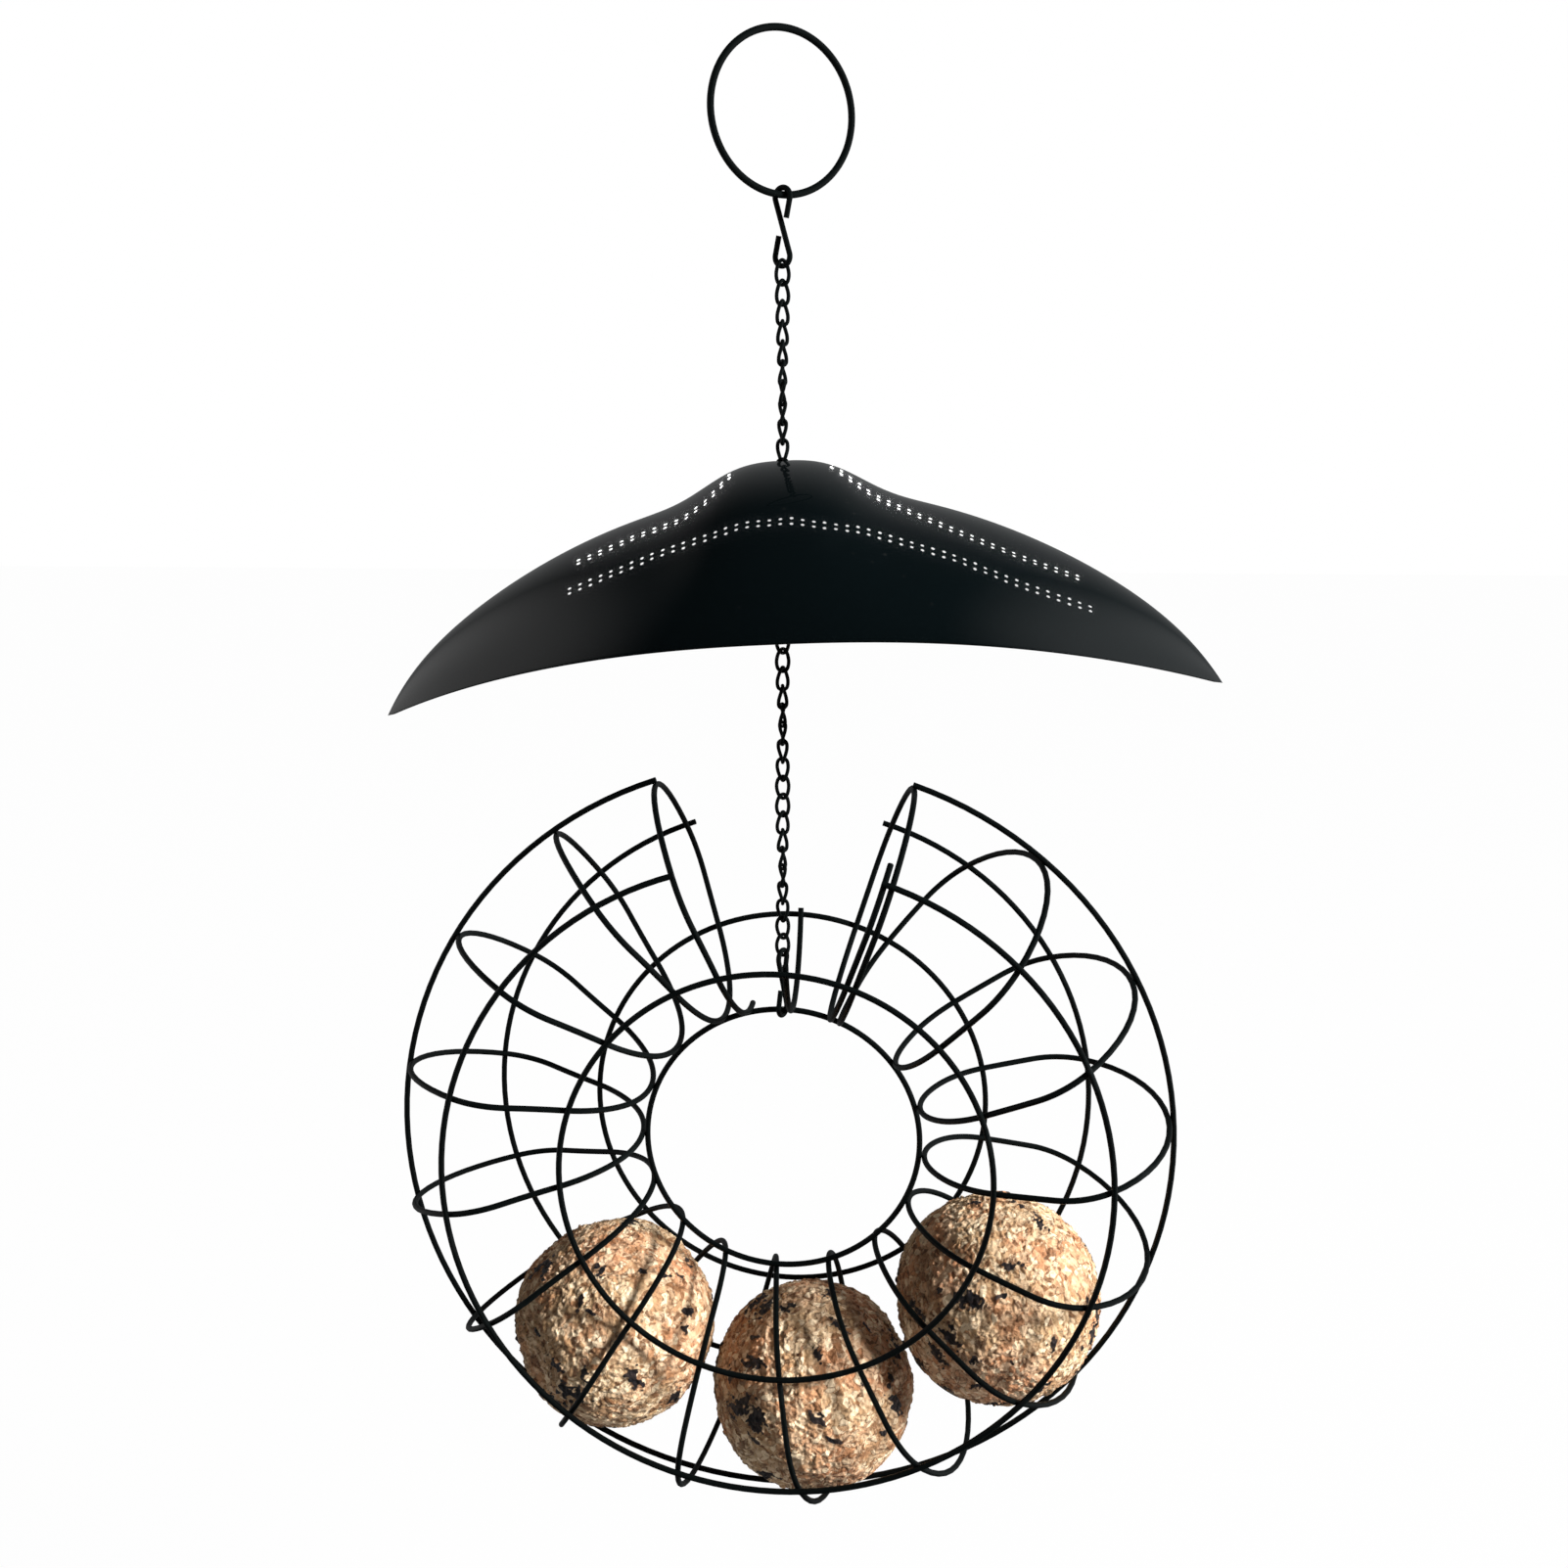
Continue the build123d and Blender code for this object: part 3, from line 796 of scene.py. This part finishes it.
@dataclass
class SuetBall:
    """One pressed ball, flattened in places, with flakes, cracks and dark seeds in its skin.

    Heights, depths and lengths are millimetres. Waves are counted across the ball's radius.
    """

    name: str
    node: str
    body: Body
    place: int
    seed: int
    diameter: float = 66.0
    spacing: float = 46.6
    shift: float = 6.6
    track: float = 85.7
    slack: float = 0.05
    cells: int = 150
    flats: int = 34
    flat_depth_shares: tuple[float, float] = (0.93, 0.98)
    least_facing: float = 0.2
    flat_share: float = 0.7
    flat_inset: float = 0.5
    round_inset: float = 0.9
    lump_waves: float = 0.9
    lump_height: float = 0.5
    flakes: int = 4200
    flake_heights: tuple[float, float] = (-0.75, 0.8)
    dome_share: float = 0.45
    step_share: float = 0.22
    edge_gain: float = 2.2
    warp_waves: float = 5.0
    warp: float = 0.03
    cream_share: float = 0.20
    bran_share: float = 0.12
    crack_width: float = 0.016
    crack_depth: float = 0.25
    crumb_waves: float = 9.0
    crumb_height: float = 0.34
    seeds: int = 64
    seed_lengths: tuple[float, float] = (1.4, 5.6)
    seed_length_power: float = 1.6
    seed_width_shares: tuple[float, float] = (0.38, 0.7)
    seed_waves: float = 13.0
    seed_raggedness: float = 0.75
    seed_height: float = 0.35

    def middle(self) -> np.ndarray:
        """Place of the ball's middle on its path in the tube, in millimetres."""
        angle = math.radians(self.shift + self.place * self.spacing)
        return np.array([self.track * math.sin(angle), 0.0, CAGE_HEIGHT - self.track * math.cos(angle)])

    @staticmethod
    def directions(random: np.random.Generator, count: int) -> np.ndarray:
        """Draw random unit directions."""
        return unit(random.normal(size=(count, 3)))

    def flattened(self, random: np.random.Generator, ways: np.ndarray) -> np.ndarray:
        """Cut the ball flat here and there and give it broad lumps.

        A plane at depth d, square to p, is met along a direction w at d / (w.p).

        Args:
            random: Source of the planes.
            ways: Unit directions, count by three.

        Returns:
            Radius of the skin along each direction, in millimetres.
        """
        radius = self.diameter / 2
        planes = self.directions(random, self.flats)
        depth = radius * random.uniform(*self.flat_depth_shares, self.flats)
        facing = np.maximum(ways @ planes.T, self.least_facing)
        cut = np.minimum(radius - self.flat_inset, (depth / facing).min(axis=1))
        lumps = self.lump_height * wave_noise(ways, self.lump_waves, self.seed + 1)
        return self.flat_share * cut + (1 - self.flat_share) * (radius - self.round_inset) + lumps

    def flaked(
        self, random: np.random.Generator, ways: np.ndarray
    ) -> tuple[np.ndarray, dict[str, np.ndarray]]:
        """Cover the skin with flakes.

        Each flake is a cell round a random direction, domed and lifted by its own height, with a
        crack where two cells meet, sunk into the skin and also darkened there by painted shade. Waves bend
        the cells' edges and add crumbs.

        Args:
            random: Source of the flakes.
            ways: Unit directions, count by three.

        Returns:
            Heights in millimetres, and the attributes tone, cream and bran and the crack mask, which both
            sinks the cracks and paints shade into them.
        """
        bend = [wave_noise(ways, self.warp_waves, self.seed + k, 2) for k in (2, 3, 4)]
        bent = unit(ways + self.warp * np.stack(bend, axis=1))
        number, near, far = nearest_two(bent, self.directions(random, self.flakes))
        dome = 1 - (near / np.maximum(far, 1e-6)) ** 2
        height = random.uniform(*self.flake_heights, self.flakes)[number]
        rise = self.dome_share * dome * np.clip(height, -0.2, 1) + self.step_share * height
        rise += self.crumb_height * wave_noise(ways, self.crumb_waves, self.seed + 5, 3)
        draw, tone = (random.uniform(0, 1, self.flakes)[number] for _ in range(2))
        inside = np.clip(dome * self.edge_gain, 0, 1)
        return rise, {
            "tone": tone,
            "cream": (draw > 1 - self.cream_share) * inside,
            "bran": (draw < self.bran_share) * inside,
            # Mask of the cracks between flakes: it sinks the skin there and paints shade into them.
            "crack_shade": np.clip(1 - (far - near) / self.crack_width, 0, 1) * np.clip(0.4 + height, 0, 1),
        }

    def seeded(self, random: np.random.Generator, ways: np.ndarray) -> np.ndarray:
        """Lay long ragged seeds on the skin.

        A seed is an oval round its head: along a and across b, a place w is at the distance
        sqrt((w.a / length)^2 + (w.b / width)^2), and the mask falls from one to nought near one.

        Args:
            random: Source of the seeds.
            ways: Unit directions, count by three.

        Returns:
            The mask of the seeds.
        """
        heads = self.directions(random, self.seeds)
        lay = unit(np.cross(heads, self.directions(random, self.seeds)))
        least, most = self.seed_lengths
        lengths = least + (most - least) * random.uniform(0, 1, self.seeds) ** self.seed_length_power
        lengths /= self.diameter / 2
        widths = lengths * random.uniform(*self.seed_width_shares, self.seeds)
        ragged = self.seed_raggedness * wave_noise(ways, self.seed_waves, self.seed + 6, 2)
        found = np.zeros(len(ways))
        for head, along, length, width in zip(heads, lay, lengths, widths):
            over = np.cross(head, along)
            distance = np.hypot(ways @ along / length, ways @ over / width)
            found = np.maximum(found, np.clip(1.25 - distance + ragged, 0, 1) * (ways @ head > 0))
        return found

    def build(self) -> bpy.types.Object:
        """Work out the ball's skin, which never leaves the solid ball.

        Returns:
            The ball, with the attributes tone, cream, bran and seed and the crack mask, which both sinks the
            cracks and paints shade into them.
        """
        random = np.random.default_rng(self.seed)
        ways, faces = cube_ball(self.cells)
        skin = self.flattened(random, ways)
        rise, looks = self.flaked(random, ways)
        seeds = self.seeded(random, ways)
        skin += rise + self.seed_height * np.clip(seeds * 2, 0, 1) - self.crack_depth * looks["crack_shade"]
        skin = np.minimum(skin, self.diameter / 2 - self.slack)
        points = (self.middle() + ways * skin[:, None]) * MM
        return mesh_object(self.name, points, faces, {**looks, "seed": seeds})


# ---- stage


@dataclass
class Studio:
    """Pale floor, white surroundings, soft lamps and the camera of the photograph.

    The rows are places in the photograph, in its pixels, where the roof mirrors rows of small
    lights. The gaps are half the pixels between the two lines of each row.
    """

    floor_height: float = -0.62
    floor_size: float = 14.0
    camera_place: Triple = (0.0402, -0.466, -0.09355)
    pitch: float = 11.7
    yaw: float = -4.88
    focal_pixels: float = 1617.0
    sensor: float = 36.0
    aim: Triple = (0.0, 0.0, -0.24)
    rows: tuple[tuple[tuple[float, float], ...], ...] = (
        ((582, 604), (670, 567), (757, 537), (807, 532), (882, 542), (970, 568), (1045, 598), (1114, 622)),
        ((591, 574), (607, 567), (651, 548), (695, 532), (720, 514), (745, 487)),
        ((850, 476), (889, 504), (901, 511), (970, 540), (1045, 570), (1101, 590)),
    )
    dot_step: float = 11.0
    row_gaps: tuple[float, ...] = (2.6, 1.7, 1.7)
    length_share: float = 0.17
    width_share: float = 0.21
    corners: int = 8
    sample_counts: tuple[int, int] = (1400, 420)
    hang: float = 0.012
    bead_strength: float = 17.0
    bead_limit: float = 0.0012

    def stand(self) -> Matrix:
        """Place and turn the camera: upright, and looking a little down and to the left."""
        pitch, yaw = math.radians(self.pitch), math.radians(self.yaw)
        return (Matrix.Translation(self.camera_place) @ Matrix.Rotation(-yaw, 4, "Z")
                @ Matrix.Rotation(math.pi / 2 - pitch, 4, "X"))

    def camera(self) -> None:
        """Make the camera, where the photograph was taken from."""
        data = bpy.data.cameras.new("camera")
        data.sensor_width = self.sensor
        data.lens = self.sensor * self.focal_pixels / FRAME_PIXELS
        data.clip_start, data.clip_end = 0.01, 60.0
        eye = bpy.data.objects.new("camera", data)
        bpy.context.scene.collection.objects.link(eye)
        eye.matrix_world = self.stand()
        bpy.context.scene.camera = eye

    def floor(self) -> None:
        """Lay a wide flat floor that fades to white for the camera and still takes a shadow."""
        half = self.floor_size / 2
        span = np.linspace(-half, half, 3)
        x, y = np.meshgrid(span, span, indexing="ij")
        grid = np.stack([x, y, np.full_like(x, self.floor_height)], axis=-1)
        floor = grid_object("floor", grid)
        material, make = Nodes.material("floor_white")
        paint = make.add("BsdfDiffuse", Color=(0.35, 0.35, 0.35, 1))
        glow = make.add("Emission", Color=(1, 1, 1, 1), Strength=1.0)
        seen = make.add("LightPath").outputs["Is Camera Ray"]
        blend = make.add("MixShader")
        make.join(make.math("MULTIPLY", seen, 0.985), blend, 0)
        make.join(paint.outputs[0], blend, 1)
        make.join(glow.outputs[0], blend, 2)
        make.surface(blend)
        floor.data.materials.append(material)
        floor.visible_glossy = False

    def world(self) -> None:
        """Surround the scene with white for the camera, faint soft light, and dark for the gloss.

        Mirrored in gloss the surroundings are nearly black, and paler behind and far to the sides.
        """
        world = bpy.data.worlds.new("studio")
        bpy.context.scene.world = world
        world.use_nodes = True
        make = Nodes(world.node_tree)
        path = make.add("LightPath")
        seen = make.math("MAXIMUM", path.outputs["Is Camera Ray"], path.outputs["Is Transmission Ray"])
        way = make.add("TexCoord").outputs["Generated"]
        parts = make.add("SeparateXYZ")
        make.join(way, parts, 0)
        behind = make.span(parts.outputs["Y"], 0.1, 0.8, 0.0, 0.14)
        sideways = make.span(make.math("ABSOLUTE", parts.outputs["X"]), 0.5, 0.98, 0.0, 0.6)
        pale = make.math("MAXIMUM", behind, sideways)
        shine = make.math("MULTIPLY", path.outputs["Is Glossy Ray"], pale)
        white = make.add("Background", Color=(1, 1, 1, 1), Strength=1.0)
        soft = make.add("Background", Color=(1.0, 0.86, 0.74, 1), Strength=0.10)
        dark = make.add("Background", Color=(0.012, 0.016, 0.018, 1), Strength=1.0)
        glossy = make.add("MixShader")
        make.join(path.outputs["Is Glossy Ray"], glossy, 0)
        make.join(soft.outputs[0], glossy, 1)
        make.join(dark.outputs[0], glossy, 2)
        blend = make.add("MixShader")
        make.join(make.math("MAXIMUM", seen, shine), blend, 0)
        make.join(glossy.outputs[0], blend, 1)
        make.join(white.outputs[0], blend, 2)
        make.join(blend.outputs[0], make.add("OutputWorld"), "Surface")

    def lamp(self, name: str, place: Triple, size: float, power: float) -> None:
        """Hang one square soft lamp that faces the feeder and isn't mirrored in it.

        Args:
            name: The lamp's name.
            place: Where it is, in metres.
            size: Its side.
            power: Its power in watts.
        """
        data = bpy.data.lights.new(name, "AREA")
        data.size, data.energy = size, power
        lamp = bpy.data.objects.new(name, data)
        lamp.visible_glossy = False
        bpy.context.scene.collection.objects.link(lamp)
        way = np.subtract(self.aim, place)
        flat = math.hypot(way[0], way[1])
        lamp.matrix_world = (Matrix.Translation(place)
                             @ Matrix.Rotation(math.atan2(way[1], way[0]) - math.pi / 2, 4, "Z")
                             @ Matrix.Rotation(math.atan2(way[2], flat) + math.pi / 2, 4, "X"))

    def mirrored(self, roof: ArchedRoof, pixels: np.ndarray) -> np.ndarray:
        """Find where lights must hang for the roof to mirror them at places of the photograph.

        A sight line along w that meets the roof where its normal is n leaves it along
        w - 2 (w.n) n. The place it meets is the roof's visible grid place nearest in the picture.

        Args:
            roof: The shell that mirrors the lights.
            pixels: Places in the photograph, count by two.

        Returns:
            Places at the hanging distance along the mirrored lines, in metres.
        """
        along_count, across_count = self.sample_counts
        share, across = np.meshgrid(np.linspace(-0.98, 0.98, along_count),
                                    np.linspace(-0.999, 0.6, across_count), indexing="ij")
        places = roof.stand(roof.surface(share, across * np.sqrt(1 - share**2), 0.0)) * MM
        normals = np.cross(np.gradient(places, axis=0), np.gradient(places, axis=1))
        normals = unit(normals * np.sign(normals[..., 2:]))
        sight = places - np.array(self.camera_place)
        turned = sight @ np.array(self.stand().to_3x3())
        seen = FRAME_PIXELS / 2 + self.focal_pixels * turned[..., :2] * [1, -1] / -turned[..., 2:]
        facing = np.sum(normals * sight, axis=-1) < 0
        places, normals, sight, seen = (v[facing] for v in (places, normals, sight, seen))
        nearest = np.array([np.argmin(np.sum((seen - pixel) ** 2, axis=1)) for pixel in pixels])
        way = unit(sight[nearest])
        normal = normals[nearest]
        return places[nearest] + self.hang * (way - 2 * np.sum(way * normal, axis=1, keepdims=True) * normal)

    def light_beads(self, roof: ArchedRoof) -> None:
        """Hang double rows of small bright beads that only show as dotted lines in the roof's gloss.

        Each bead is a flat oval. Its half length is a share of the step to its neighbour along the
        row and its half width a share of the way between the two lines, up to a limit.

        Args:
            roof: The shell that mirrors the beads.
        """
        corner = np.linspace(0, 2 * np.pi, self.corners, endpoint=False)[:, None]
        ovals = []
        for row, gap in zip(self.rows, self.row_gaps):
            line = np.array(row, dtype=float)
            run = np.concatenate([[0], np.cumsum(np.hypot(*np.diff(line, axis=0).T))])
            stops = np.linspace(0, run[-1], int(run[-1] / self.dot_step))
            dots = np.stack([np.interp(stops, run, line[:, k]) for k in (0, 1)], axis=1)
            upper, lower = (self.mirrored(roof, dots + [0, side * gap]) for side in (-1, 1))
            for places in (upper, lower):
                along, across = (
                    way * np.minimum(1, self.bead_limit / np.linalg.norm(way, axis=1, keepdims=True))
                    for way in (self.length_share * np.gradient(places, axis=0),
                                self.width_share * (lower - upper))
                )
                ovals.append(places[:, None] + np.cos(corner) * along[:, None]
                             + np.sin(corner) * across[:, None])
        ovals = np.concatenate(ovals)
        quads = np.array([[0, 1, 2, 3], [0, 3, 4, 7], [4, 5, 6, 7]])
        faces = (quads[None] + self.corners * np.arange(len(ovals))[:, None, None]).reshape(-1, 4)
        beads = mesh_object("light_beads", ovals.reshape(-1, 3), faces)
        material, make = Nodes.material("bead_light")
        make.surface(make.add("Emission", Color=(1, 1, 1, 1), Strength=self.bead_strength))
        beads.data.materials.append(material)
        beads.visible_camera = beads.visible_diffuse = beads.visible_shadow = False

    def build(self, roof: ArchedRoof) -> None:
        """Set up everything that is not part of the feeder.

        Args:
            roof: The shell whose gloss mirrors the light beads.
        """
        bpy.context.scene.view_settings.view_transform = "Standard"
        self.camera()
        self.floor()
        self.world()
        self.lamp("key_lamp", (1.5, -0.62, 0.55), 0.4, 98.0)
        self.lamp("fill_lamp", (-1.2, -1.2, 0.1), 1.1, 2.0)
        self.lamp("back_lamp", (0.2, 1.4, 0.9), 1.0, 12.0)
        self.light_beads(roof)


def finish_for(node: str) -> Slot:
    """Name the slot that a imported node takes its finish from.

    Args:
        node: The node's name.

    Returns:
        The record's slot.
    """
    starts = {
        "hanging_ring": Slot.RING, "top_s_hook": Slot.HOOK, "lower_s_hook": Slot.HOOK,
        "chain_link": Slot.CHAIN, "roof": Slot.ROOF, "suet_ball": Slot.SUET,
    }
    return next((slot for start, slot in starts.items() if node.startswith(start)), Slot.CAGE)


def main() -> None:
    """Load the frame, dress it, add the finer pieces and set up the studio."""
    logging.basicConfig(level=logging.INFO, format="%(name)s: %(message)s")
    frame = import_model()
    finishes = Finishes()
    for name, node in frame["nodes"].items():
        finishes.dress(node, finish_for(name))
    finishes.place(CageCoil().build(), Slot.CAGE, Body.CAGE, "coil_wire")
    roof = ArchedRoof()
    finishes.place(roof.build(), Slot.ROOF, Body.ROOF, "roof")
    balls = (
        SuetBall("left_ball", "suet_ball_left", Body.LEFT_BALL, -1, 11),
        SuetBall("middle_ball", "suet_ball_middle", Body.MIDDLE_BALL, 0, 23),
        SuetBall("right_ball", "suet_ball_right", Body.RIGHT_BALL, 1, 37),
    )
    for ball in balls:
        finishes.place(ball.build(), Slot.SUET, ball.body, ball.node)
    Studio().build(roof)


if __name__ == "__main__":
    main()
